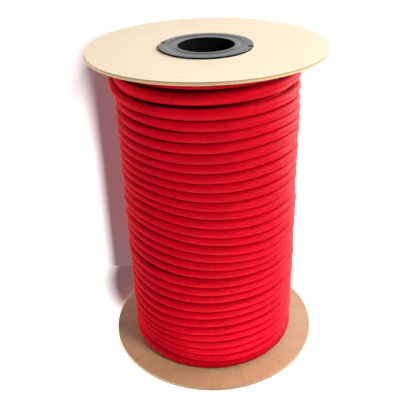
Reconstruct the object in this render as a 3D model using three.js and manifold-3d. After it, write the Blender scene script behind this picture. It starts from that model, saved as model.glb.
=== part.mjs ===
// A full reel of round bungee cord: two board flanges on a cardboard tube, held by a
// plastic hub insert pressed into each end, and wound with braid-covered elastic cord.
// Millimetres. +Z runs up the reel's axis, and the origin is the middle of its base.

import * as THREE from 'three';
import { mergeVertices } from 'three/addons/utils/BufferGeometryUtils.js';
import Module from 'manifold-3d';

const wasm = await Module();
wasm.setup();

// Flange boards
const flangeDiameter = 200;
const boardThickness = 3;
const boardSeatMargin = 1.8; // flat board left round the hub insert's flange

// Core tube
const tubeLength = 281;
const tubeWall = 4;

// Hub inserts
const hubBore = 47.6;
const hubInnerWall = 2;
const hubSleeveGap = 5.1;
const hubOuterWall = 1.8;
const hubBarrelDepth = 34; // below the face that sits on the board
const hubBarrelLeadIn = 1.5;
const hubFlangeOverhang = 6.3; // past the barrel, over the board
const hubFlangeThickness = 1.6;
const hubLipWidth = 3.2; // raised lip round the bore
const hubLipChamfer = 0.7;
const hubRimWidth = 6.4; // raised ring at the flange's edge
const hubRimChamfer = 0.3;
const hubDishDepth = 0.5; // of the shallow ring between lip and rim
const hubRibWall = 1.6;
const hubRibSetback = 3; // from the barrel's inner end
const hubRibCount = 8;
const hubNotchWidth = 4.6;
const hubNotchDepth = 4.2;
const hubNotchAngles = [-15, 165];

// Cord and winding. The reel holds five layers of 32 close turns. Here the outer layer
// has its cord at full size, in fewer turns that are set wider apart.
const cordDiameter = 8;
const windingLayers = 5;
const turnGap = 3.3; // least distance between neighbouring turns of the outer layer
const windingStartAngle = 90; // both ends lie at the back
const stepsPerTurn = 24;
const cordSides = 6;

// Clearances
const hubClearance = 0.3; // hub barrel to the tube and to the hole in the board
const layerClearance = 0.4; // cord to cord, tube and boards
const cutOverrun = 1;

// Roundness
const flangeFacets = 96;
const hubFacets = 48;

// Derived
const flangeRadius = flangeDiameter / 2;
const hubSleeveInside = hubBore / 2 + hubInnerWall; // the space between the two sleeves
const hubSleeveOutside = hubSleeveInside + hubSleeveGap;
const hubBarrelRadius = hubSleeveOutside + hubOuterWall;
const hubFlangeRadius = hubBarrelRadius + hubFlangeOverhang;
const tubeBoreRadius = hubBarrelRadius + hubClearance;
const tubeRadius = tubeBoreRadius + tubeWall;
const boardSeatRadius = hubFlangeRadius + boardSeatMargin;
const boardFlare = hubFlangeThickness; // the winding has pushed the rims level with the hubs
const bottomBoardUnder = hubFlangeThickness;
const bottomBoardTop = bottomBoardUnder + boardThickness;
const topBoardUnder = bottomBoardTop + tubeLength;
const topBoardTop = topBoardUnder + boardThickness;
const reelHeight = topBoardTop + hubFlangeThickness;
const cordRadius = cordDiameter / 2;
const firstLayerRadius = tubeRadius + layerClearance + cordRadius;
const windingPathRadius = firstLayerRadius + (windingLayers - 1) * (cordDiameter + layerClearance);
const innerLayersRadius = windingPathRadius - cordRadius - layerClearance;
const windingTop = topBoardUnder - layerClearance - cordRadius;
const windingBottom = bottomBoardTop + layerClearance + cordRadius;
const windingTurns = Math.floor((windingTop - windingBottom) / (cordDiameter + turnGap));

const degrees = Math.PI / 180;

// Materials
const boardMaterial = new THREE.MeshStandardMaterial({ color: 0xdcbf94, roughness: 0.85, metalness: 0 });
const tubeMaterial = new THREE.MeshStandardMaterial({ color: 0xa98a63, roughness: 0.9, metalness: 0 });
const hubMaterial = new THREE.MeshStandardMaterial({ color: 0x26272a, roughness: 0.45, metalness: 0 });
const cordMaterial = new THREE.MeshStandardMaterial({ color: 0xd0152a, roughness: 0.75, metalness: 0 });

// A closed ring about Z from [radius, height] points that run counter-clockwise round
// its section, radius to the right and height up.
function ring(points, facets) {
  const outline = points.map(([radius, height]) => new THREE.Vector2(radius, height));
  outline.push(outline[0].clone());
  const geometry = new THREE.LatheGeometry(outline, facets);
  geometry.rotateX(Math.PI / 2); // the lathe's axis is Y
  return weld(geometry);
}

function weld(geometry) {
  geometry.deleteAttribute('normal');
  geometry.deleteAttribute('uv');
  return mergeVertices(geometry, cordDiameter * 1e-6);
}

function toSolid(geometry) {
  const vertProperties = new Float32Array(geometry.attributes.position.array);
  const triVerts = new Uint32Array(geometry.index.array);
  return new wasm.Manifold(new wasm.Mesh({ numProp: 3, vertProperties, triVerts }));
}

function toGeometry(solid) {
  const mesh = solid.getMesh();
  const geometry = new THREE.BufferGeometry();
  geometry.setAttribute('position', new THREE.BufferAttribute(mesh.vertProperties, mesh.numProp));
  geometry.setIndex(new THREE.BufferAttribute(mesh.triVerts, 1));
  return geometry;
}

function box(width, depth, height) {
  return weld(new THREE.BoxGeometry(width, depth, height));
}

// Flange board, outer face up: its seat is on z = 0 and its rim is flared upwards.
function flangeBoard() {
  return ring([
    [tubeBoreRadius, -boardThickness],
    [boardSeatRadius, -boardThickness],
    [flangeRadius, boardFlare - boardThickness],
    [flangeRadius, boardFlare],
    [boardSeatRadius, 0],
    [tubeBoreRadius, 0],
  ], flangeFacets);
}

// The height that a board's flare adds at a radius.
function flareAt(radius) {
  return boardFlare * (radius - boardSeatRadius) / (flangeRadius - boardSeatRadius);
}

// Core tube, from one board to the other.
function coreTube() {
  return ring([
    [tubeBoreRadius, bottomBoardTop],
    [tubeRadius, bottomBoardTop],
    [tubeRadius, topBoardUnder],
    [tubeBoreRadius, topBoardUnder],
  ], hubFacets);
}

// Hub insert, face up, with its flange's seat on z = 0 and its barrel below: an inner
// sleeve round the bore and an outer sleeve for the tube, joined by ribs.
function hubInsert() {
  const bore = hubBore / 2;
  const face = hubFlangeThickness;
  const dish = face - hubDishDepth;
  let solid = toSolid(ring([
    [bore, -hubBarrelDepth],
    [hubSleeveInside, -hubBarrelDepth],
    [hubSleeveInside, 0],
    [hubSleeveOutside, 0],
    [hubSleeveOutside, -hubBarrelDepth],
    [hubBarrelRadius - hubOuterWall / 2, -hubBarrelDepth],
    [hubBarrelRadius, hubBarrelLeadIn - hubBarrelDepth],
    [hubBarrelRadius, 0],
    [hubFlangeRadius, 0],
    [hubFlangeRadius, face - hubRimChamfer],
    [hubFlangeRadius - hubRimChamfer, face],
    [hubFlangeRadius - hubRimWidth, face],
    [hubFlangeRadius - hubRimWidth - hubDishDepth, dish],
    [bore + hubLipWidth + hubDishDepth, dish],
    [bore + hubLipWidth, face],
    [bore + hubLipChamfer, face],
    [bore, face - hubLipChamfer],
  ], hubFacets));
  const ribStart = hubSleeveInside - hubInnerWall / 2;
  const ribEnd = hubSleeveOutside + hubOuterWall / 2;
  const ribTop = dish / 2;
  const ribBottom = hubRibSetback - hubBarrelDepth;
  for (let i = 0; i < hubRibCount; i += 1) {
    const rib = box(ribEnd - ribStart, hubRibWall, ribTop - ribBottom);
    rib.translate((ribStart + ribEnd) / 2, 0, (ribTop + ribBottom) / 2);
    rib.rotateZ((i + 0.5) * 360 / hubRibCount * degrees);
    solid = solid.add(toSolid(rib));
  }
  for (const angle of hubNotchAngles) {
    const notch = box(2 * hubNotchDepth, hubNotchWidth, face + 2 * cutOverrun);
    notch.translate(hubFlangeRadius, 0, face / 2);
    notch.rotateZ(angle * degrees);
    solid = solid.subtract(toSolid(notch));
  }
  return toGeometry(solid);
}

// The layers under the outer one, as one plain body whose facets line up with the
// outer layer's steps and whose ends follow the boards.
function innerLayers() {
  const inside = (tubeRadius + layerClearance) / Math.cos(Math.PI / stepsPerTurn);
  const low = bottomBoardTop + layerClearance;
  const high = topBoardUnder - layerClearance;
  return ring([
    [inside, low],
    [boardSeatRadius, low],
    [innerLayersRadius, low - flareAt(innerLayersRadius)],
    [innerLayersRadius, high + flareAt(innerLayersRadius)],
    [boardSeatRadius, high],
    [inside, high],
  ], stepsPerTurn);
}

// The outer layer's route, from the top to the bottom. It turns counter-clockwise seen
// from above as it goes down, and each end runs on straight for one cord diameter.
function windingRoute() {
  const steps = windingTurns * stepsPerTurn;
  const descent = (windingBottom - windingTop) / (windingTurns * 2 * Math.PI * windingPathRadius);
  const stations = [];
  for (let i = 0; i <= steps; i += 1) {
    const angle = windingStartAngle * degrees + i / stepsPerTurn * 2 * Math.PI;
    const outwards = new THREE.Vector3(Math.cos(angle), Math.sin(angle), 0);
    const along = new THREE.Vector3(-Math.sin(angle), Math.cos(angle), descent).normalize();
    const point = outwards.clone().multiplyScalar(windingPathRadius);
    point.z = windingTop + (windingBottom - windingTop) * i / steps;
    stations.push({ point, outwards, along });
  }
  const runOn = (station, distance) => ({
    ...station,
    point: station.point.clone().addScaledVector(station.along, distance),
  });
  return [runOn(stations[0], -cordDiameter), ...stations, runOn(stations[steps], cordDiameter)];
}

// The least gap between the skins of neighbouring turns, measured on the route's points.
function leastGap(route) {
  let least = Infinity;
  for (let i = 0; i < route.length; i += 1) {
    const beyond = Math.min(route.length, i + 2 * stepsPerTurn);
    for (let j = i + stepsPerTurn / 2; j < beyond; j += 1) {
      least = Math.min(least, route[i].point.distanceTo(route[j].point));
    }
  }
  return least - cordDiameter;
}

// One unbroken tube along a route.
function cordTube(route) {
  const positions = [];
  const triangles = [];
  for (const { point, outwards, along } of route) {
    const aside = new THREE.Vector3().crossVectors(along, outwards);
    for (let k = 0; k < cordSides; k += 1) {
      const turn = k / cordSides * 2 * Math.PI;
      const corner = point.clone();
      corner.addScaledVector(outwards, cordRadius * Math.cos(turn));
      corner.addScaledVector(aside, cordRadius * Math.sin(turn));
      positions.push(corner.x, corner.y, corner.z);
    }
  }
  for (let i = 0; i < route.length - 1; i += 1) {
    for (let k = 0; k < cordSides; k += 1) {
      const a = i * cordSides + k;
      const b = i * cordSides + (k + 1) % cordSides;
      triangles.push(a, b, b + cordSides, a, b + cordSides, a + cordSides);
    }
  }
  const end = (route.length - 1) * cordSides;
  for (let k = 1; k < cordSides - 1; k += 1) {
    triangles.push(0, k + 1, k, end, end + k, end + k + 1);
  }
  const geometry = new THREE.BufferGeometry();
  geometry.setAttribute('position', new THREE.Float32BufferAttribute(positions, 3));
  geometry.setIndex(triangles);
  return geometry;
}

const reel = new THREE.Group();

function place(name, geometry, material, turned = false, height = 0) {
  const mesh = new THREE.Mesh(geometry, material);
  mesh.name = name;
  mesh.rotation.x = turned ? Math.PI : 0;
  mesh.position.z = height;
  reel.add(mesh);
}

place('top_flange', flangeBoard(), boardMaterial, false, topBoardTop);
place('bottom_flange', flangeBoard(), boardMaterial, true, bottomBoardUnder);
place('core_tube', coreTube(), tubeMaterial);
place('top_hub_insert', hubInsert(), hubMaterial, false, topBoardTop);
place('bottom_hub_insert', hubInsert(), hubMaterial, true, bottomBoardUnder);
place('cord_inner_layers', innerLayers(), cordMaterial);

const route = windingRoute();
place('cord_outer_layer', cordTube(route), cordMaterial);
console.log(`cord_outer_layer: ${windingTurns} turns, least gap to itself ${leastGap(route).toFixed(2)} mm`);
console.log(`reel: ${flangeDiameter} mm across, ${reelHeight.toFixed(1)} mm tall`);

export default reel;
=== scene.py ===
# Dresses the reel of bungee cord: the braided cord in its five layers, the two flange
# boards, the cardboard tube and the moulded hub inserts. Metres, in the frame's axes.

import math

import bpy
import numpy as np
from mathutils import Matrix, Vector, noise


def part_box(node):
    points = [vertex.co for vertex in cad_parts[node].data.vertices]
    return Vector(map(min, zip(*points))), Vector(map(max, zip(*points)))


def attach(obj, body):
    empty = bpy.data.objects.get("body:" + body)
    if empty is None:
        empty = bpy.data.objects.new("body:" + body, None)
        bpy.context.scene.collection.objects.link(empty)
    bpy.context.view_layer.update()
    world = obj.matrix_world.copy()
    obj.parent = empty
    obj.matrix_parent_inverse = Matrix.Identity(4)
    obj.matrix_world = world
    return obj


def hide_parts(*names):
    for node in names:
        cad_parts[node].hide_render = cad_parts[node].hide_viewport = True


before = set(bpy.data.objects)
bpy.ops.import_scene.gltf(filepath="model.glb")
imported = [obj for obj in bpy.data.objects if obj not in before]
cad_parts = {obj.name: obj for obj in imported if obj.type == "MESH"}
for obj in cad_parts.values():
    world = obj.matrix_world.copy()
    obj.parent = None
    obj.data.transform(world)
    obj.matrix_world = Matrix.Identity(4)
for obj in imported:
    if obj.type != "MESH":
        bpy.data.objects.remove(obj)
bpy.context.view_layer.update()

MM = 0.001
BODY = "root"

# Camera, as the photograph was taken
CAMERA_PLACE = (0, -0.4919, 0.4182)
CAMERA_PITCH = math.radians(29.15)
CAMERA_PAN = math.radians(-1.12)
CAMERA_ROLL = math.radians(-2.07)
CAMERA_LENS = 53.82  # millimetres, on a 36 mm sensor


def make_camera():
    data = bpy.data.cameras.new("camera")
    data.lens = CAMERA_LENS
    data.clip_start = 0.02
    camera = bpy.data.objects.new("camera", data)
    bpy.context.scene.collection.objects.link(camera)
    forward = Vector((
        math.sin(CAMERA_PAN) * math.cos(CAMERA_PITCH),
        math.cos(CAMERA_PAN) * math.cos(CAMERA_PITCH),
        -math.sin(CAMERA_PITCH),
    ))
    right = forward.cross(Vector((0, 0, 1))).normalized()
    up = right.cross(forward)
    rolled_right = right * math.cos(CAMERA_ROLL) + up * math.sin(CAMERA_ROLL)
    rolled_up = up * math.cos(CAMERA_ROLL) - right * math.sin(CAMERA_ROLL)
    axes = Matrix((rolled_right, rolled_up, -forward)).transposed()
    camera.matrix_world = Matrix.Translation(CAMERA_PLACE) @ axes.to_4x4()
    bpy.context.scene.camera = camera


make_camera()


# Meshes

def make_piece(name, points, faces, replaced=(), smooth=True):
    mesh = bpy.data.meshes.new(name)
    mesh.from_pydata([tuple(p) for p in points], [], [tuple(f) for f in faces])
    mesh.polygons.foreach_set("use_smooth", [smooth] * len(mesh.polygons))
    mesh.update()
    piece = bpy.data.objects.new(name, mesh)
    bpy.context.scene.collection.objects.link(piece)
    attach(piece, BODY)
    if replaced:
        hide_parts(*replaced)
    return piece


def smooth_route(knots, at):
    """A smooth line through the knots' values, at the given places."""
    knots = np.array(knots, float)
    x, y = knots[:, 0], knots[:, 1:]
    slopes = np.gradient(y, x, axis=0)
    at = np.clip(at, x[0], x[-1])
    i = np.clip(np.searchsorted(x, at, side="right") - 1, 0, len(x) - 2)
    width = (x[i + 1] - x[i])[:, None]
    t = (at[:, None] - x[i][:, None]) / width
    start = 2 * t**3 - 3 * t**2 + 1
    leave = t**3 - 2 * t**2 + t
    end = 3 * t**2 - 2 * t**3
    arrive = t**3 - t**2
    left = start * y[i] + leave * width * slopes[i]
    return left + end * y[i + 1] + arrive * width * slopes[i + 1]


def ease(t):
    """0 up to t = 0 and 1 from t = 1, with a smooth rise between."""
    t = np.clip(t, 0, 1)
    return t * t * (3 - 2 * t)


# Cord

CORD_DIAMETER = 8 * MM
CORD_RADIUS = CORD_DIAMETER / 2
LAYER_RADII = [41.4 * MM, 49.8 * MM, 58.2 * MM, 66.6 * MM]  # the inner layers' centrelines
OUTER_RADIUS = 75 * MM
LAYER_TOP = 281.5 * MM
LAYER_BOTTOM = 8.7 * MM
HELIX_TURNS = 31.5  # of a layer, before the half turn that climbs to the next
CLIMB_TURNS = 0.5

# The outer layer counts its turns from the front of the reel, and goes round
# counter-clockwise seen from above. Turns, height and radius in millimetres.
TOP_TURNS = [
    (-1.0, 281.7, 66.6),
    (-0.75, 281.9, 70.5),
    (-0.5, 282.0, 74.6),
    (-0.25, 281.6, 75.0),
    (0.0, 280.9, 74.3),
    (0.25, 281.4, 74.8),
    (0.5, 280.8, 75.0),
    (0.65, 278.2, 75.0),
    (0.75, 272.5, 75.0),
    (0.83, 269.2, 75.4),
    (0.9, 269.4, 76.2),
    (1.0, 270.1, 76.6),
    (1.25, 271.1, 75.8),
    (1.5, 272.0, 76.0),
    (1.65, 271.0, 78.9),
    (1.75, 266.2, 79.8),
    (1.83, 259.8, 77.6),
    (1.9, 257.8, 75.9),
    (2.0, 257.5, 75.3),
    (2.25, 257.0, 75.4),
    (2.5, 255.2, 75.0),
    (2.75, 251.0, 75.0),
]
FIRST_EVEN_TURN = 3
EVEN_TURN_HEIGHT = 247.8
EVEN_PITCH = 8.55
LAST_TURN = 31
LOWEST_TURN = 8.2
SPACING_WAVE = 1.25  # millimetres, on the heights of the turns
SPACING_WAVE_TURNS = 20
SPACING_WAVE_START = 8
OUTER_END = 31.55
LEAN_ROOM = 0.4  # millimetres that a leaning turn may come below the lowest one
LAST_TUCK = 0.4  # millimetres that the last turn lies in from the others
TUCK_TURNS = 0.5  # the turns that it takes to come in
TAIL_START = 31.27
TAIL_RISE = 8.3  # millimetres that the cord's end comes out, clear of the turn above it
# How far the turns lean down to the right of the front, at a height. Millimetres.
LEAN = [(0, 0), (25, -2.4), (55, -5.6), (80, -4.0), (102, -2.6), (120, 1.4), (140, 4.2),
        (160, 3.2), (185, 2.2), (205, -1.2), (235, -2.8), (262, 0), (290, 0)]
LEAN_ANGLE = math.radians(35)  # either side of the front, where the lean is measured
# Where the turns lie higher or lower on one side alone: the side's azimuth, and its shift
# at each height, in millimetres.
SIDE_SHIFTS = [
    (-48, [(0, 0), (7, 0.5), (14, 3.6), (22, 2.9), (30, 2.4), (38, 0.6), (46, -0.8), (55, -2.4),
           (63, -2.6), (72, -0.8), (82, 0), (290, 0)]),
    (48, [(0, 0), (30, 0), (45, -1.8), (62, -1.8), (78, -1.2), (92, -1), (104, -1.4), (117, -2.2),
          (132, -2.2), (147, -1.4), (162, -1), (176, 0), (290, 0)]),
]
SIDE_WIDTH = 28  # degrees
UNEVEN_HEIGHT = 0.45  # millimetres, either way
UNEVEN_RADIUS = 0.7
UNEVEN_BIAS = 0.3  # outwards, as a share of UNEVEN_RADIUS
UNEVEN_RATE = 1.7  # changes a turn
UNEVEN_FADE = 2  # turns over which the unevenness begins
HEIGHT_SEED = 3.5
RADIUS_SEED = 8.5
NOISE_GAIN = 1.6  # brings the noise to about -1 to 1
OUTER_STEPS = 120  # a turn
OUTER_SIDES = 16
INNER_STEPS = 36
INNER_SIDES = 8
SQUEEZE_LIMITS = (3.1 * MM, 4.1 * MM)  # of a section's half height between its neighbours
FREE_SPREAD = 0.45 * MM  # more, where the cord lies flatter because its neighbours are far
FREE_ROOM = (9.5 * MM, 11.5 * MM)  # between neighbours, where that begins and is full
STRIP_MARGIN = 0.06  # of a strip of the OFBake map, at each side of it
OUTSIDE_POWER = 0.7  # below 1, it gives the side that faces outwards more of its strip


def room_beside(path, steps):
    """The mean distance from each point to the turns before and after it."""
    apart = np.linalg.norm(path[steps:] - path[:-steps], axis=1)
    before = np.concatenate([np.full(steps, apart[0]), apart])
    after = np.concatenate([apart, np.full(steps, apart[-1])])
    return (before + after) / 2


def cord_tube(name, path, outwards, sides, steps, replaced):
    """A mesh tube along path, with each section's first side facing outwards. Where
    neighbouring turns crowd it, its section is squeezed between them."""
    along = np.gradient(path, axis=0)
    along /= np.linalg.norm(along, axis=1)[:, None]
    radial = outwards - along * (outwards * along).sum(1)[:, None]
    radial /= np.linalg.norm(radial, axis=1)[:, None]
    aside = np.cross(along, radial)
    turn = np.arange(sides) / sides * 2 * np.pi
    room = room_beside(path, steps)
    half_height = np.clip(room / 2, *SQUEEZE_LIMITS)
    half_height += FREE_SPREAD * ease((room - FREE_ROOM[0]) / (FREE_ROOM[1] - FREE_ROOM[0]))
    half_depth = CORD_RADIUS ** 2 / half_height
    across = np.cos(turn)[None, :, None] * radial[:, None, :] * half_depth[:, None, None]
    beside = np.sin(turn)[None, :, None] * aside[:, None, :] * half_height[:, None, None]
    rings = path[:, None, :] + across + beside
    count = len(path)
    points = rings.reshape(-1, 3)
    faces = []
    for i in range(count - 1):
        for k in range(sides):
            a = i * sides + k
            b = i * sides + (k + 1) % sides
            faces.append((a, b, b + sides, a + sides))
    faces.append(tuple(reversed(range(sides))))
    faces.append(tuple(range((count - 1) * sides, count * sides)))
    piece = make_piece(name, points, faces, [replaced])
    map_cord(piece, path, sides, steps)
    return piece


def map_cord(piece, path, sides, steps):
    """Two UV maps: Cord holds metres along and the share of the way round, and OFBake
    lays the turns out as strips, with most room for the side that faces outwards."""
    mesh = piece.data
    lengths = np.concatenate([[0], np.cumsum(np.linalg.norm(np.diff(path, axis=0), axis=1))])
    quads = (len(path) - 1) * sides
    i, k = np.divmod(np.arange(quads), sides)
    corner_i = np.stack([i, i, i + 1, i + 1], 1)
    corner_k = np.stack([k, k + 1, k + 1, k], 1)
    caps = 2 * sides
    cord = np.zeros((quads * 4 + caps, 2))
    cord[:quads * 4, 0] = lengths[corner_i].ravel()
    cord[:quads * 4, 1] = corner_k.ravel() / sides
    cord[quads * 4:, 0] = np.repeat([0, lengths[-1]], sides)
    rows = math.ceil((len(path) - 1) / steps)
    row = i // steps
    share = ((corner_k / sides + 0.5) % 1.0)
    share[(corner_k == sides // 2) & (k == sides // 2 - 1)[:, None]] = 1.0
    weighted = 0.5 + np.sign(share - 0.5) * 0.5 * np.abs(2 * share - 1) ** OUTSIDE_POWER
    bake = np.zeros((quads * 4 + caps, 2))
    bake[:quads * 4, 0] = ((corner_i - row[:, None] * steps) / steps).ravel()
    within = STRIP_MARGIN + (1 - 2 * STRIP_MARGIN) * weighted
    bake[:quads * 4, 1] = ((row[:, None] + within) / rows).ravel()
    bake[quads * 4:, 1] = 0.5 / rows
    for title, values in (("Cord", cord), ("OFBake", bake)):
        layer = mesh.uv_layers.new(name=title)
        layer.data.foreach_set("uv", values.astype(np.float32).ravel())


def polar(turns, radius, height):
    """Points at the given turns from the front, counter-clockwise from above."""
    angle = (turns - 0.25) * 2 * np.pi
    outwards = np.stack([np.cos(angle), np.sin(angle), np.zeros_like(angle)], 1)
    path = outwards * radius[:, None]
    path[:, 2] = height
    return path, outwards


def inner_route():
    """Four layers, up and down in turn, that end where the outer layer's route starts."""
    layer_turns = HELIX_TURNS + CLIMB_TURNS
    whole = len(LAYER_RADII) * layer_turns - CLIMB_TURNS
    turns = np.arange(0, round(whole * INNER_STEPS) + 1) / INNER_STEPS
    layer = np.minimum((turns / layer_turns).astype(int), len(LAYER_RADII) - 1)
    into = turns - layer * layer_turns
    down = layer % 2 == 0
    share = np.clip(into / HELIX_TURNS, 0, 1)
    height = np.where(down, 1 - share, share) * (LAYER_TOP - LAYER_BOTTOM) + LAYER_BOTTOM
    radii = np.array(LAYER_RADII + [OUTER_RADIUS])
    climb = ease((into - HELIX_TURNS) / CLIMB_TURNS)
    radius = radii[layer] + (radii[layer + 1] - radii[layer]) * climb
    return polar(turns - whole + TOP_TURNS[0][0], radius, height)


def unevenness(turns, seed):
    """Smooth random values of about -1 to 1, at the given turns."""
    places = [Vector((turn * UNEVEN_RATE, seed, 0.5)) for turn in turns]
    return np.array([noise.noise(place) * NOISE_GAIN for place in places])


def outer_route():
    """The outer layer from its climb at the top to its end at the back."""
    knots = list(TOP_TURNS)
    for half in range(2 * FIRST_EVEN_TURN, 2 * (LAST_TURN + 1) + 1):
        turn = half / 2
        height = EVEN_TURN_HEIGHT - EVEN_PITCH * (turn - FIRST_EVEN_TURN)
        wave = (turn - SPACING_WAVE_START) / SPACING_WAVE_TURNS * 2 * math.pi
        height -= SPACING_WAVE * math.cos(wave)
        knots.append((turn, max(height, LOWEST_TURN), OUTER_RADIUS / MM))
    first = round(knots[0][0] * OUTER_STEPS)
    last = round(OUTER_END * OUTER_STEPS)
    turns = np.arange(first, last + 1) / OUTER_STEPS
    height, radius = smooth_route(knots, turns).T
    azimuth = turns * 2 * np.pi
    below_top = ease((turns - FIRST_EVEN_TURN) / UNEVEN_FADE)
    height = height + unevenness(turns, HEIGHT_SEED) * UNEVEN_HEIGHT * below_top
    radius = radius + (unevenness(turns, RADIUS_SEED) + UNEVEN_BIAS) * UNEVEN_RADIUS * below_top
    radius = radius - LAST_TUCK * ease((turns - LAST_TURN + 1) / TUCK_TURNS)
    radius = radius + TAIL_RISE * ease((turns - TAIL_START) / (OUTER_END - TAIL_START))
    lean = smooth_route(LEAN, height)[:, 0]
    height = height - lean / 2 * np.sin(2 * azimuth) / math.sin(2 * LEAN_ANGLE)
    for side, shifts in SIDE_SHIFTS:
        apart = (np.degrees(azimuth) - side + 180) % 360 - 180
        height = height + smooth_route(shifts, height)[:, 0] * np.exp(-(apart / SIDE_WIDTH) ** 2)
    return polar(turns, radius * MM, np.maximum(height, LOWEST_TURN - LEAN_ROOM) * MM)


def length_of(path):
    return float(np.linalg.norm(np.diff(path, axis=0), axis=1).sum())


def make_cords():
    inner_path, inner_out = inner_route()
    inner = cord_tube("inner_layers", inner_path, inner_out, INNER_SIDES, INNER_STEPS,
                      "cord_inner_layers")
    outer_path, outer_out = outer_route()
    outer = cord_tube("outer_layer", outer_path, outer_out, OUTER_SIDES, OUTER_STEPS,
                      "cord_outer_layer")
    for piece, path, far_end in ((inner, inner_path, "object"), (outer, outer_path, "bare")):
        print(f"{piece.name}: {length_of(path):.2f} m of cord, {len(piece.data.polygons)} faces")
    return inner, outer


inner_cord, outer_cord = make_cords()

STRAND_RADIUS = 0.62 * MM
STRAND_RINGS = [(0, 1), (1.3 * MM, 6), (2.55 * MM, 12)]  # how far out, and how many
STRAND_SIDES = 10
STRAND_ROOT = 3 * MM  # that a strand starts inside the cover
STRAND_LENGTHS = (0.5 * MM, 1.7 * MM)  # out of the cover's end
STRAND_STEP = 2.4  # radians, of the sine that varies the lengths
STRAND_BEVEL = 0.15 * MM
STRAND_TIP = 0.72  # of the strand's radius


def make_cord_end():
    """The rubber strands that show where the cord is cut, at the back."""
    path, outwards = outer_route()
    end = Vector(path[-1])
    along = (end - Vector(path[-2])).normalized()
    side = (Vector(outwards[-1]) - along * Vector(outwards[-1]).dot(along)).normalized()
    up = along.cross(side)
    points = []
    faces = []
    number = 0
    for out, count in STRAND_RINGS:
        for k in range(count):
            turn = (k + 0.5) / count * 2 * math.pi
            middle = end + (side * math.cos(turn) + up * math.sin(turn)) * out
            number += 1
            share = 0.5 + 0.5 * math.sin(number * STRAND_STEP)
            reach = STRAND_LENGTHS[0] + (STRAND_LENGTHS[1] - STRAND_LENGTHS[0]) * share
            first = len(points)
            stations = [(-STRAND_ROOT, 1), (reach - STRAND_BEVEL, 1), (reach, STRAND_TIP)]
            for place, size in stations:
                for j in range(STRAND_SIDES):
                    angle = j / STRAND_SIDES * 2 * math.pi
                    ring = side * math.cos(angle) + up * math.sin(angle)
                    points.append(middle + along * place + ring * STRAND_RADIUS * size)
            for i in range(len(stations) - 1):
                for j in range(STRAND_SIDES):
                    a = first + i * STRAND_SIDES + j
                    b = first + i * STRAND_SIDES + (j + 1) % STRAND_SIDES
                    faces.append((a, b, b + STRAND_SIDES, a + STRAND_SIDES))
            last = first + (len(stations) - 1) * STRAND_SIDES
            faces.append(tuple(range(first + STRAND_SIDES - 1, first - 1, -1)))
            faces.append(tuple(range(last, last + STRAND_SIDES)))
    return make_piece("cut_end_strands", points, faces, ())


cord_end = make_cord_end()


# Boards, hubs and tube

RIM_SEGMENTS = 192
HUB_SEGMENTS = 144
SHARP_ANGLE = math.radians(35)  # between two faces, from which their edge is sharp


def even_angles(segments):
    return [i / segments * 2 * math.pi for i in range(segments)]


def revolve(profile_at, angles):
    """Points and faces of a closed [radius, height] profile, turned about Z. The profile
    may change with the angle, but not its number of points."""
    points = []
    faces = []
    segments = len(angles)
    for i, angle in enumerate(angles):
        profile = profile_at(angle)
        count = len(profile)
        for radius, height in profile:
            points.append((radius * math.cos(angle), radius * math.sin(angle), height))
        for k in range(count):
            a = i * count + k
            b = i * count + (k + 1) % count
            c = ((i + 1) % segments) * count + (k + 1) % count
            d = ((i + 1) % segments) * count + k
            faces.append((a, d, c, b))
    return points, faces


def arc(centre, radius, start, end, steps):
    """Points of a round corner in a profile, degrees anticlockwise from outwards."""
    found = []
    for i in range(steps + 1):
        angle = math.radians(start + (end - start) * i / steps)
        found.append((centre[0] + radius * math.cos(angle), centre[1] + radius * math.sin(angle)))
    return found


BOARD_HOLE = 33.0 * MM
BOARD_SEAT = 40.8 * MM
BOARD_THICKNESS = 3 * MM
BOARD_ARRIS = 0.35 * MM
ARRIS_STEPS = 3
BOARD_STEPS = 8
RIM_WEAR = 0.25 * MM  # most that the rim's inner arris is worn back, apart from its nicks
RIM_WEAR_RATE = 9  # changes a radian
RIM_NICKS = [(-86, 0.5 * MM), (-83, 0.7 * MM), (-38, 0.4 * MM), (62, 0.5 * MM), (171, 0.6 * MM)]
NICK_WIDTH = 1.1  # degrees
FRONT_RISE = 0.65 * MM  # of the top board's rim at the front, where it has warped a little


def rim_wear(angle, seed):
    """How far the inner face's arris is worn back at an angle."""
    around = Vector((math.cos(angle), math.sin(angle), seed)) * RIM_WEAR_RATE
    worn = RIM_WEAR * (0.5 + 0.5 * noise.noise(around))
    for centre, depth in RIM_NICKS:
        apart = (math.degrees(angle) - centre + 180) % 360 - 180
        worn += depth * math.exp(-(apart / NICK_WIDTH) ** 2)
    return worn


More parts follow.
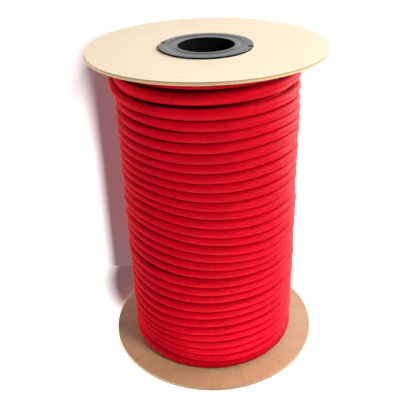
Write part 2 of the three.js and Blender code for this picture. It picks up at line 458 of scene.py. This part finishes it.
def make_board(node, top):
    low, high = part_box(node)
    rim = high.x
    flare = high.z - low.z - BOARD_THICKNESS

    def profile_at(angle):
        # The outer face up, with its seat on z = 0
        worn = BOARD_ARRIS + rim_wear(angle, 1 if top else 2)
        under = [(BOARD_HOLE, -BOARD_THICKNESS), (BOARD_SEAT, -BOARD_THICKNESS)]
        over = [(BOARD_HOLE, 0), (BOARD_SEAT, 0)]
        for i in range(1, BOARD_STEPS):
            t = i / BOARD_STEPS
            rise = flare * t
            under.append((BOARD_SEAT + (rim - worn - BOARD_SEAT) * t, rise - BOARD_THICKNESS))
            over.append((BOARD_SEAT + (rim - BOARD_ARRIS - BOARD_SEAT) * t, rise))
        under += arc((rim - worn, flare - BOARD_THICKNESS + worn), worn, -90, 0, ARRIS_STEPS)
        under += arc((rim - BOARD_ARRIS, flare - BOARD_ARRIS), BOARD_ARRIS, 0, 90, ARRIS_STEPS)
        return under + over[::-1]

    points, faces = revolve(profile_at, even_angles(RIM_SEGMENTS))
    seat = high.z - flare if top else low.z + flare
    flip = 1 if top else -1
    points = [(x, y * flip, z * flip + seat) for x, y, z in points]
    if top:
        points = [(x, y, z + FRONT_RISE * (max(-y, 0) / rim) ** 2) for x, y, z in points]
    return make_piece(node + "_board", points, faces, [node], smooth=False)


HUB_BORE = 23.8 * MM
HUB_SLEEVES = [(23.8 * MM, 25.8 * MM), (30.9 * MM, 32.7 * MM)]  # inner and outer, their radii
HUB_FLANGE_THICKNESS = 1.6 * MM
HUB_LIP_WIDTH = 3.2 * MM
HUB_RIM_WIDTH = 6.4 * MM
HUB_DISH_DEPTH = 0.5 * MM
HUB_DISH_SOFTNESS = 0.2  # of the dish's depth, at the corners of its sides
HUB_ROUND = 0.25 * MM
HUB_ROUND_STEPS = 4
HUB_LEAD_IN = 1.5 * MM
HUB_NOTCHES = [-15, 165]  # degrees
HUB_NOTCH_WIDTH = 4.6 * MM
HUB_NOTCH_DEPTH = 4.2 * MM
HUB_NOTCH_STEPS = 16
HUB_NOTCH_CROWDING = 0.4  # below 1, it crowds the steps towards the notch's sides
HUB_NOTCH_SQUARENESS = 8
HUB_NOTCH_INSIDE = 0.999  # of its half width, up to which the rim is cut
HUB_NOTCH_CLEARANCE = 1.3  # of its half width, within which the even steps are left out
HUB_RIBS = 8
HUB_RIB_WALL = 1.6 * MM
HUB_RIB_SETBACK = 3 * MM


def hub_profile(rim, barrel):
    """The section of a hub insert, face up, with its flange's seat on z = 0."""
    face = HUB_FLANGE_THICKNESS
    dish = face - HUB_DISH_DEPTH
    r = HUB_ROUND
    inner, outer = HUB_SLEEVES
    lip = HUB_BORE + HUB_LIP_WIDTH
    step = rim - HUB_RIM_WIDTH
    soft = HUB_DISH_DEPTH * HUB_DISH_SOFTNESS
    points = [(HUB_BORE + r, -barrel), (inner[1], -barrel), (inner[1], 0), (outer[0], 0),
              (outer[0], -barrel), (outer[1] - HUB_LEAD_IN / 2, -barrel),
              (outer[1], HUB_LEAD_IN - barrel), (outer[1], 0), (rim, 0)]
    points += arc((rim - r, face - r), r, 0, 90, HUB_ROUND_STEPS)
    points += [(step + r, face), (step, face - soft)]
    points += [(step - HUB_DISH_DEPTH, dish + soft), (step - HUB_DISH_DEPTH - r, dish)]
    points += [(lip + HUB_DISH_DEPTH + r, dish), (lip + HUB_DISH_DEPTH, dish + soft)]
    points += [(lip, face - soft), (lip - r, face)]
    points += arc((HUB_BORE + r, face - r), r, 90, 180, HUB_ROUND_STEPS)
    points += [(HUB_BORE, r - barrel)]
    return points


def angle_apart(first, second):
    """The angle between two directions, all in radians."""
    return abs((first - second + math.pi) % (2 * math.pi) - math.pi)


def hub_angles(rim):
    """Even steps round, with finer ones through each notch, and a notch's half width."""
    half = HUB_NOTCH_WIDTH / 2 / (rim - HUB_NOTCH_DEPTH / 2)
    angles = []
    for angle in even_angles(HUB_SEGMENTS):
        nearest = min(angle_apart(angle, math.radians(notch)) for notch in HUB_NOTCHES)
        if nearest > half * HUB_NOTCH_CLEARANCE:
            angles.append(angle)
    for notch in HUB_NOTCHES:
        for i in range(HUB_NOTCH_STEPS + 1):
            share = 2 * i / HUB_NOTCH_STEPS - 1
            offset = half * math.copysign(abs(share) ** HUB_NOTCH_CROWDING, share)
            angles.append((math.radians(notch) + offset) % (2 * math.pi))
    return sorted(angles), half


def rib_mesh(angle, inner, outer, low, high):
    """A flat rib between the sleeves."""
    out = Vector((math.cos(angle), math.sin(angle), 0))
    side = Vector((-math.sin(angle), math.cos(angle), 0)) * HUB_RIB_WALL / 2
    points = []
    for height in (low, high):
        up = Vector((0, 0, height))
        points += [out * inner - side + up, out * outer - side + up, out * outer + side + up,
                   out * inner + side + up]
    faces = [(3, 2, 1, 0), (4, 5, 6, 7), (0, 1, 5, 4), (1, 2, 6, 5), (2, 3, 7, 6), (3, 0, 4, 7)]
    return points, faces


def make_hub(node, top):
    low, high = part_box(node)
    rim = high.x
    barrel = high.z - low.z - HUB_FLANGE_THICKNESS
    profile = hub_profile(rim, barrel)
    angles, half = hub_angles(rim)

    def profile_at(angle):
        cut = rim
        for notch in HUB_NOTCHES:
            apart = angle_apart(angle, math.radians(notch))
            if apart < half * HUB_NOTCH_INSIDE:
                cut = rim - HUB_NOTCH_DEPTH * (1 - (apart / half) ** HUB_NOTCH_SQUARENESS)
        section = []
        for radius, height in profile:
            in_flange = height > -HUB_ROUND
            section.append((min(radius, cut) if in_flange else radius, height))
        return section

    points, faces = revolve(profile_at, angles)
    inner = HUB_SLEEVES[0][1] - HUB_ROUND
    outer = HUB_SLEEVES[1][0] + HUB_ROUND
    for i in range(HUB_RIBS):
        angle = (i + 0.5) / HUB_RIBS * 2 * math.pi
        rib_points, rib_faces = rib_mesh(angle, inner, outer, HUB_RIB_SETBACK - barrel, HUB_ROUND)
        first = len(points)
        points += [tuple(p) for p in rib_points]
        faces += [tuple(k + first for k in face) for face in rib_faces]
    seat = high.z - HUB_FLANGE_THICKNESS if top else low.z + HUB_FLANGE_THICKNESS
    flip = 1 if top else -1
    points = [(x, y * flip, z * flip + seat) for x, y, z in points]
    piece = make_piece(node + "_moulding", points, faces, [node])
    piece.data.set_sharp_from_angle(angle=SHARP_ANGLE)
    return piece


TUBE_BORE = 33.0 * MM
TUBE_CORNER = 0.3 * MM  # taken off each corner of the cut ends
TUBE_SEGMENTS = 96


def make_tube():
    low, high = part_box("core_tube")
    bore = TUBE_BORE
    skin = TUBE_CORNER

    def profile_at(angle):
        return [(bore + skin, low.z), (high.x - skin, low.z), (high.x, low.z + skin),
                (high.x, high.z - skin), (high.x - skin, high.z), (bore + skin, high.z),
                (bore, high.z - skin), (bore, low.z + skin)]

    points, faces = revolve(profile_at, even_angles(TUBE_SEGMENTS))
    piece = make_piece("paper_tube", points, faces, ["core_tube"])
    piece.data.set_sharp_from_angle(angle=SHARP_ANGLE)
    return piece


top_board = make_board("top_flange", True)
bottom_board = make_board("bottom_flange", False)
top_hub = make_hub("top_hub_insert", True)
bottom_hub = make_hub("bottom_hub_insert", False)
tube = make_tube()


# Materials

def srgb(red, green, blue):
    """A linear colour from sRGB values of 0 to 255."""
    def linear(v):
        v /= 255
        return v / 12.92 if v <= 0.04045 else ((v + 0.055) / 1.055) ** 2.4
    return (linear(red), linear(green), linear(blue), 1)


def new_material(name, **sockets):
    """A material with its node tree and its shader, whose sockets get the given values."""
    material = bpy.data.materials.new(name)
    material.use_nodes = True
    tree = material.node_tree
    shader = tree.nodes["Principled BSDF"]
    for title, value in sockets.items():
        shader.inputs[title.replace("_", " ")].default_value = value
    return material, tree, shader


def plug(tree, socket, value):
    if isinstance(value, bpy.types.NodeSocket):
        tree.links.new(value, socket)
    else:
        socket.default_value = value


def math_node(tree, operation, *values):
    made = tree.nodes.new("ShaderNodeMath")
    made.operation = operation
    for socket, value in zip(made.inputs, values):
        plug(tree, socket, value)
    return made.outputs[0]


def vector_node(tree, operation, *values):
    made = tree.nodes.new("ShaderNodeVectorMath")
    made.operation = operation
    for socket, value in zip(made.inputs, values):
        plug(tree, socket, value)
    return made.outputs["Vector"]


def mix_colour(tree, factor, first, second):
    made = tree.nodes.new("ShaderNodeMix")
    made.data_type = "RGBA"
    plug(tree, made.inputs[0], factor)
    plug(tree, made.inputs[6], first)
    plug(tree, made.inputs[7], second)
    return made.outputs[2]


def held(tree, value):
    """The value, held between 0 and 1."""
    return math_node(tree, "MAXIMUM", math_node(tree, "MINIMUM", value, 1.0), 0.0)


def place_of(tree):
    return tree.nodes.new("ShaderNodeTexCoord").outputs["Object"]


def noise_node(tree, vector, scale, detail=3.0, roughness=0.5):
    made = tree.nodes.new("ShaderNodeTexNoise")
    made.inputs["Scale"].default_value = scale
    made.inputs["Detail"].default_value = detail
    made.inputs["Roughness"].default_value = roughness
    tree.links.new(vector, made.inputs["Vector"])
    return made.outputs["Fac"]


def add_bump(tree, shader, height, distance, strength=1.0):
    made = tree.nodes.new("ShaderNodeBump")
    made.inputs["Distance"].default_value = distance
    made.inputs["Strength"].default_value = strength
    tree.links.new(height, made.inputs["Height"])
    tree.links.new(made.outputs[0], shader.inputs["Normal"])


BRAID_STRANDS = 12  # each way round the cord
BRAID_PITCH = 1.6 * MM  # along the cord, from one strand to the next
ROW_DEPTH = 0.6  # of the rows across the cord, where the strands cross


def cord_material():
    """A braid from the Cord map: strands that cross two over and two under, with painted shade in
    the hollows between them.
    """
    material, tree, shader = new_material("cord_braid", Roughness=0.5, Specular_IOR_Level=0.05)
    uv = tree.nodes.new("ShaderNodeUVMap")
    uv.uv_map = "Cord"
    apart = tree.nodes.new("ShaderNodeSeparateXYZ")
    tree.links.new(uv.outputs[0], apart.inputs[0])
    along = math_node(tree, "DIVIDE", apart.outputs[0], BRAID_PITCH)
    around = math_node(tree, "MULTIPLY", apart.outputs[1], BRAID_STRANDS)
    rising = math_node(tree, "ADD", along, around)
    falling = math_node(tree, "SUBTRACT", along, around)
    step = math_node(tree, "SUBTRACT", math_node(tree, "FLOOR", rising),
                     math_node(tree, "FLOOR", falling))
    over = math_node(tree, "LESS_THAN", math_node(tree, "FLOORED_MODULO", step, 4.0), 1.5)
    heights = []
    for way in (rising, falling):
        middle = math_node(tree, "SUBTRACT", math_node(tree, "FRACT", way), 0.5)
        square = math_node(tree, "MULTIPLY", middle, middle)
        heights.append(math_node(tree, "MULTIPLY_ADD", square, -4.0, 1.0))
    picked = tree.nodes.new("ShaderNodeMix")
    plug(tree, picked.inputs[0], over)
    plug(tree, picked.inputs[2], heights[1])
    plug(tree, picked.inputs[3], heights[0])
    height = picked.outputs[0]
    off_row = math_node(tree, "SUBTRACT", math_node(tree, "FRACT", along), 0.5)
    square = math_node(tree, "MULTIPLY", off_row, off_row)
    rows = math_node(tree, "MULTIPLY_ADD", square, -4 * ROW_DEPTH, 1.0)
    height = math_node(tree, "MULTIPLY", height, rows)
    place = place_of(tree)
    patches = noise_node(tree, place, scale=90, detail=3)
    fibres = noise_node(tree, place, scale=1800, detail=2)
    base = mix_colour(tree, patches, srgb(206, 1, 26), srgb(236, 5, 38))
    blotches = noise_node(tree, place, scale=260, detail=2)
    fresh = math_node(tree, "MULTIPLY_ADD", blotches, 1.4, -0.35)
    base = mix_colour(tree, fresh, srgb(178, 0, 19), base)
    speckle = noise_node(tree, place, scale=520, detail=1)
    # Painted shade: the colour darkens to a deep red in the hollows between strands, broken up at
    # random by the speckle
    tone = math_node(tree, "MULTIPLY", height, math_node(tree, "MULTIPLY_ADD", speckle, 1.7, 0.2))
    painted_gap_shade = mix_colour(tree, tone, srgb(84, 0, 8), base)
    fine = mix_colour(tree, fibres, painted_gap_shade, srgb(226, 3, 34))
    blended = mix_colour(tree, 0.25, painted_gap_shade, fine)
    tree.links.new(blended, shader.inputs["Base Color"])
    add_bump(tree, shader, height, distance=0.35 * MM, strength=1.0)
    return material


def board_material():
    """The outer side of a board, pale and faintly mottled."""
    material, tree, shader = new_material("board_face", Roughness=0.75, Specular_IOR_Level=0.05)
    place = place_of(tree)
    cloud = noise_node(tree, place, scale=45, detail=3)
    mottle = noise_node(tree, place, scale=260, detail=4, roughness=0.65)
    first = mix_colour(tree, cloud, srgb(234, 215, 189), srgb(242, 223, 198))
    second = mix_colour(tree, mottle, srgb(206, 184, 156), srgb(255, 244, 222))
    tree.links.new(mix_colour(tree, 0.4, first, second), shader.inputs["Base Color"])
    add_bump(tree, shader, mottle, distance=0.05 * MM, strength=0.6)
    return material


STREAK_LENGTH = 22 * MM
STREAKS_A_RADIAN = 62


def inner_face_material():
    """The side of a board that the cord lies against: smoother, with faint dark streaks, and
    darker and redder than the outer face, as painted shade and painted red light from the cord.
    """
    material, tree, shader = new_material("board_inner_face_painted_light_and_shade", Roughness=0.45,
                                          Specular_IOR_Level=0.6)
    place = place_of(tree)
    cloud = noise_node(tree, place, scale=40, detail=3)
    mottle = noise_node(tree, place, scale=600, detail=3, roughness=0.6)
    flat = vector_node(tree, "MULTIPLY", place, (1, 1, 0))
    radius = tree.nodes.new("ShaderNodeVectorMath")
    radius.operation = "LENGTH"
    tree.links.new(flat, radius.inputs[0])
    climb = tree.nodes.new("ShaderNodeCombineXYZ")
    outwards = math_node(tree, "DIVIDE", radius.outputs["Value"], STREAK_LENGTH)
    tree.links.new(outwards, climb.inputs[2])
    direction = vector_node(tree, "NORMALIZE", flat)
    around = vector_node(tree, "MULTIPLY", direction, (STREAKS_A_RADIAN,) * 3)
    streaks = vector_node(tree, "ADD", around, climb.outputs[0])
    grain = noise_node(tree, streaks, scale=1, detail=2, roughness=0.55)
    # Faint dark streaks that run outwards
    dark_streaks = held(tree, math_node(tree, "MULTIPLY_ADD", grain, 5.0, -2.6))
    # Painted shade and painted red light from the cord: the board's own colour, made darker and
    # oranger on this side
    base = mix_colour(tree, cloud, srgb(169, 134, 97), srgb(178, 143, 107))
    fine = mix_colour(tree, mottle, srgb(155, 120, 85), srgb(193, 156, 119))
    mixed = mix_colour(tree, 0.3, base, fine)
    dark = mix_colour(tree, math_node(tree, "MULTIPLY", dark_streaks, 0.45), mixed, srgb(132, 92, 64))
    tree.links.new(dark, shader.inputs["Base Color"])
    add_bump(tree, shader, mottle, distance=0.03 * MM, strength=0.5)
    return material


REEL_HEIGHT = 290.2 * MM
OUTER_BAND = 1.3 * MM  # of the top board's rim, darker towards the outer face


def edge_material(name, gain):
    """The sawn rim, with the board's layers as faint lines round it. The gain brightens it, as
    painted light.
    """
    material, tree, shader = new_material(name, Roughness=0.9)
    place = place_of(tree)
    grain = noise_node(tree, place, scale=900, detail=4, roughness=0.6)
    flat = tree.nodes.new("ShaderNodeMapping")
    flat.inputs["Scale"].default_value = (25, 25, 1500)
    tree.links.new(place, flat.inputs["Vector"])
    layers = noise_node(tree, flat.outputs[0], scale=1, detail=2)
    base = mix_colour(tree, grain, srgb(166, 141, 108), srgb(199, 175, 141))
    layered = mix_colour(tree, math_node(tree, "MULTIPLY", layers, 0.5), base, srgb(144, 117, 83))
    apart = tree.nodes.new("ShaderNodeSeparateXYZ")
    tree.links.new(place, apart.inputs[0])
    outer = math_node(tree, "MULTIPLY_ADD", apart.outputs[2], 1 / OUTER_BAND,
                      1 - REEL_HEIGHT / OUTER_BAND)
    outer = math_node(tree, "MULTIPLY", held(tree, outer), 0.85)
    banded = mix_colour(tree, outer, layered, srgb(122, 99, 64))
    gained = vector_node(tree, "MULTIPLY", banded, (gain,) * 3)
    tree.links.new(gained, shader.inputs["Base Color"])
    add_bump(tree, shader, math_node(tree, "ADD", grain, layers), distance=0.15 * MM, strength=0.8)
    return material


def barrel_material():
    """The bore and the outer side of a hub insert, dull with dust."""
    material, tree, shader = new_material("hub_barrel", Roughness=0.8, Specular_IOR_Level=0.03)
    place = place_of(tree)
    dust = noise_node(tree, place, scale=300, detail=3)
    base = mix_colour(tree, dust, srgb(6, 6, 7), srgb(15, 15, 16))
    tree.links.new(base, shader.inputs["Base Color"])
    return material


GATE_MARK = (27.9 * MM, 18.8 * MM)  # the middle of the scar on each insert's ring
GATE_MARK_RADIUS = 1.6 * MM


def hub_material():
    """Black plastic, whose gloss is uneven and fades to nothing at the gate mark."""
    material, tree, shader = new_material("hub_plastic", Roughness=0.28)
    place = place_of(tree)
    grain = noise_node(tree, place, scale=1500, detail=2)
    cloud = noise_node(tree, place, scale=120, detail=2)
    base = mix_colour(tree, grain, srgb(12, 14, 19), srgb(22, 24, 30))
    tree.links.new(base, shader.inputs["Base Color"])
    level = math_node(tree, "MULTIPLY_ADD", cloud, 0.4, 0.84)
    apart = tree.nodes.new("ShaderNodeVectorMath")
    apart.operation = "DISTANCE"
    flat = tree.nodes.new("ShaderNodeMapping")
    flat.inputs["Scale"].default_value = (1, 1, 0)
    tree.links.new(place, flat.inputs["Vector"])
    tree.links.new(flat.outputs[0], apart.inputs[0])
    apart.inputs[1].default_value = (*GATE_MARK, 0)
    from_mark = math_node(tree, "DIVIDE", apart.outputs["Value"], GATE_MARK_RADIUS)
    clear = math_node(tree, "MINIMUM", from_mark, 1.0)
    tree.links.new(math_node(tree, "MULTIPLY", level, clear), shader.inputs["Specular IOR Level"])
    add_bump(tree, shader, grain, distance=0.03 * MM, strength=0.5)
    return material


def strand_material():
    """Pale rubber, dusted and a little darker in places."""
    material, tree, shader = new_material("rubber_strand", Roughness=0.6)
    place = place_of(tree)
    cloud = noise_node(tree, place, scale=700, detail=3)
    base = mix_colour(tree, cloud, srgb(196, 176, 138), srgb(228, 214, 182))
    tree.links.new(base, shader.inputs["Base Color"])
    add_bump(tree, shader, cloud, distance=0.05 * MM, strength=0.6)
    return material


SEAM_RISE = 95 * MM  # the height that the paper's spiral seam climbs in one turn
SEAM_HALF_WIDTH = 0.006  # of that rise


def tube_material():
    """Bare card with the dark line of its spiral seam."""
    material, tree, shader = new_material("tube_card", Roughness=0.9)
    place = place_of(tree)
    grain = noise_node(tree, place, scale=500, detail=3)
    apart = tree.nodes.new("ShaderNodeSeparateXYZ")
    tree.links.new(place, apart.inputs[0])
    angle = math_node(tree, "ARCTAN2", apart.outputs[1], apart.outputs[0])
    turned = math_node(tree, "DIVIDE", angle, 2 * math.pi)
    climbed = math_node(tree, "DIVIDE", apart.outputs[2], SEAM_RISE)
    spiral = math_node(tree, "FRACT", math_node(tree, "SUBTRACT", climbed, turned))
    from_seam = math_node(tree, "ABSOLUTE", math_node(tree, "SUBTRACT", spiral, 0.5))
    seam = math_node(tree, "LESS_THAN", from_seam, SEAM_HALF_WIDTH)
    base = mix_colour(tree, grain, srgb(150, 122, 88), srgb(182, 152, 114))
    seamed = mix_colour(tree, math_node(tree, "MULTIPLY", seam, 0.7), base, srgb(92, 70, 48))
    tree.links.new(seamed, shader.inputs["Base Color"])
    relief = math_node(tree, "SUBTRACT", grain, seam)
    add_bump(tree, shader, relief, distance=0.2 * MM, strength=0.8)
    return material


def dress(piece, *materials):
    piece.data.materials.clear()
    for material in materials:
        piece.data.materials.append(material)


FLAT_FACING = 0.7  # least climb of a flat face's normal
UPRIGHT_FACING = 0.3  # most climb of an upright face's normal
BORE_MARGIN = 1.01  # of the bore's radius, within which a face belongs to the bore
RIM_MARGIN = 0.97  # of the rim's radius, beyond which a face belongs to the rim


def board_slot(facing):
    """Which of a board's materials a face has, from how far it faces outwards."""
    if facing > FLAT_FACING:
        return 0
    if facing < -FLAT_FACING:
        return 1
    return 2


braid = cord_material()
dress(inner_cord, braid)
dress(outer_cord, braid)
board_face = board_material()
board_inner = inner_face_material()
board_edge = edge_material("board_edge", 1)
# Painted light: the lower board's rim is the same edge, made brighter to stand in for light that
# its lamps don't give it
painted_lit_lower_edge = edge_material("lower_board_edge_painted_light", 1.35)
for board, outer_side, edge in ((top_board, 1, board_edge), (bottom_board, -1, painted_lit_lower_edge)):
    dress(board, board_face, board_inner, edge)
    for polygon in board.data.polygons:
        polygon.material_index = board_slot(polygon.normal.z * outer_side)
hub_plastic = hub_material()
hub_barrel = barrel_material()
for hub, node in ((top_hub, "top_hub_insert"), (bottom_hub, "bottom_hub_insert")):
    dress(hub, hub_plastic, hub_barrel)
    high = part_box(node)[1]
    for polygon in hub.data.polygons:
        upright = abs(polygon.normal.z) < UPRIGHT_FACING
        out = polygon.center.xy.length
        on_face = HUB_BORE * BORE_MARGIN < out < high.x * RIM_MARGIN
        polygon.material_index = 1 if upright and not on_face else 0
dress(tube, tube_material())
dress(cord_end, strand_material())


# Stage and light

STAGE_REACH = 0.8
WALL_PLACE = 0.101  # behind the reel's axis
FLOOR_GAIN = 1.0
WALL_GAIN = 1.35
# A faint glow of each plane, that only shows in the shadow, as the lit stage is white
FLOOR_SHADOW = srgb(80, 55, 57)
WALL_SHADOW = srgb(64, 60, 67)


def stage_plane(name, corners, colour_gain, shadow_colour):
    """A plane that only the camera sees, from its front alone, and that lets lamps through."""
    mesh = bpy.data.meshes.new(name)
    mesh.from_pydata(corners, [], [(0, 1, 2, 3)])
    plane = bpy.data.objects.new(name, mesh)
    bpy.context.scene.collection.objects.link(plane)
    material = bpy.data.materials.new(name)
    material.use_nodes = True
    tree = material.node_tree
    tree.nodes.clear()
    output = tree.nodes.new("ShaderNodeOutputMaterial")
    diffuse = tree.nodes.new("ShaderNodeBsdfDiffuse")
    diffuse.inputs[0].default_value = (colour_gain, colour_gain, colour_gain, 1)
    lift = tree.nodes.new("ShaderNodeEmission")
    lift.inputs[0].default_value = shadow_colour
    pale = tree.nodes.new("ShaderNodeAddShader")
    tree.links.new(diffuse.outputs[0], pale.inputs[0])
    tree.links.new(lift.outputs[0], pale.inputs[1])
    clear = tree.nodes.new("ShaderNodeBsdfTransparent")
    rays = tree.nodes.new("ShaderNodeLightPath")
    facing = tree.nodes.new("ShaderNodeNewGeometry")
    front = math_node(tree, "SUBTRACT", 1.0, facing.outputs["Backfacing"])
    seen = math_node(tree, "MULTIPLY", front, rays.outputs["Is Camera Ray"])
    mix = tree.nodes.new("ShaderNodeMixShader")
    tree.links.new(seen, mix.inputs[0])
    tree.links.new(clear.outputs[0], mix.inputs[1])
    tree.links.new(pale.outputs[0], mix.inputs[2])
    tree.links.new(mix.outputs[0], output.inputs[0])
    mesh.materials.append(material)
    return plane


def make_stage():
    reach = STAGE_REACH
    floor = stage_plane("floor", [(-reach, -reach, 0), (reach, -reach, 0), (reach, reach, 0),
                                  (-reach, reach, 0)], FLOOR_GAIN, FLOOR_SHADOW)
    wall = stage_plane("wall", [(-reach, WALL_PLACE, 0), (reach, WALL_PLACE, 0),
                                (reach, WALL_PLACE, reach), (-reach, WALL_PLACE, reach)],
                       WALL_GAIN, WALL_SHADOW)
    return floor, wall


def limit_light(lamp, objects, link="INCLUDE"):
    """Lets a lamp light only these objects, or with EXCLUDE all but these. Every object
    still casts its shadow."""
    group = bpy.data.collections.new(lamp.name)
    for obj in objects:
        group.objects.link(obj)
    for entry in group.collection_objects:
        entry.light_linking.link_state = link
    lamp.light_linking.receiver_collection = group


AIM = Vector((0, 0, 0.145))  # that all lamps face, about the middle of the reel
# Each lamp's azimuth and elevation in degrees, its distance from there, width and height
# in metres, and its level. Azimuth is counted to the right of the front, as the camera sees it.
LAMPS = {
    "key": (46, 31, 1.3, 0.35, 0.25, 1.19),
    "bounce": (27, -37, 0.45, 0.3, 0.12, 1.52),
    "right": (106, 28, 1.2, 1.0, 0.6, 1.08),
    "left": (-85, -5, 1.3, 0.4, 0.5, 1.6),
    "glow": (142, 12, 0.8, 0.5, 0.6, 0.4),
    "top": (-40, 76, 1.3, 0.3, 0.3, 0.1),
    "rim": (131, -8, 0.8, 0.3, 0.6, 0.62),
    "wall_light": (17.7, 23, 1.6, 0.16, 0.95, 1.3),
    "floor_light": (10, 73.9, 5.0, 0.3, 0.3, 1.2),
}
FILL = 0.08  # level of the world's light


def area_light(name, azimuth, elevation, distance, width, height, level):
    """A soft lamp that lights a facing surface to level, where 1 shows colours as written."""
    data = bpy.data.lights.new(name, "AREA")
    data.shape = "RECTANGLE"
    data.size = width
    data.size_y = height
    data.energy = level * math.pi ** 2 * distance ** 2
    lamp = bpy.data.objects.new(name, data)
    bpy.context.scene.collection.objects.link(lamp)
    az, el = math.radians(azimuth), math.radians(elevation)
    towards = Vector((math.sin(az) * math.cos(el), -math.cos(az) * math.cos(el), math.sin(el)))
    lamp.location = AIM + towards * distance
    lamp.rotation_euler = towards.to_track_quat("Z", "Y").to_euler()
    lamp.visible_camera = False
    return lamp


def make_light(floor, wall):
    lamps = {name: area_light(name, *values) for name, values in LAMPS.items()}
    for name in ("key", "left"):
        lamps[name].visible_glossy = False
    for name in ("key", "right", "left", "glow"):
        limit_light(lamps[name], (floor, wall), "EXCLUDE")
    limit_light(lamps["bounce"], (floor, wall, bottom_board), "EXCLUDE")
    limit_light(lamps["top"], (top_board, top_hub))
    limit_light(lamps["rim"], (inner_cord, outer_cord))
    limit_light(lamps["wall_light"], (wall,))
    limit_light(lamps["floor_light"], (floor,))
    world = bpy.data.worlds.new("world")
    bpy.context.scene.world = world
    world.use_nodes = True
    tree = world.node_tree
    background = tree.nodes["Background"]
    background.inputs[0].default_value = (1, 1, 1, 1)
    # White to the camera and in the gloss, but a faint light
    rays = tree.nodes.new("ShaderNodeLightPath")
    seen = math_node(tree, "MAXIMUM", rays.outputs["Is Camera Ray"],
                     rays.outputs["Is Transmission Ray"])
    seen = math_node(tree, "MAXIMUM", seen, rays.outputs["Is Glossy Ray"])
    strength = math_node(tree, "MULTIPLY_ADD", seen, 1 - FILL, FILL)
    tree.links.new(strength, background.inputs[1])


make_light(*make_stage())
bpy.context.scene.view_settings.view_transform = "Standard"
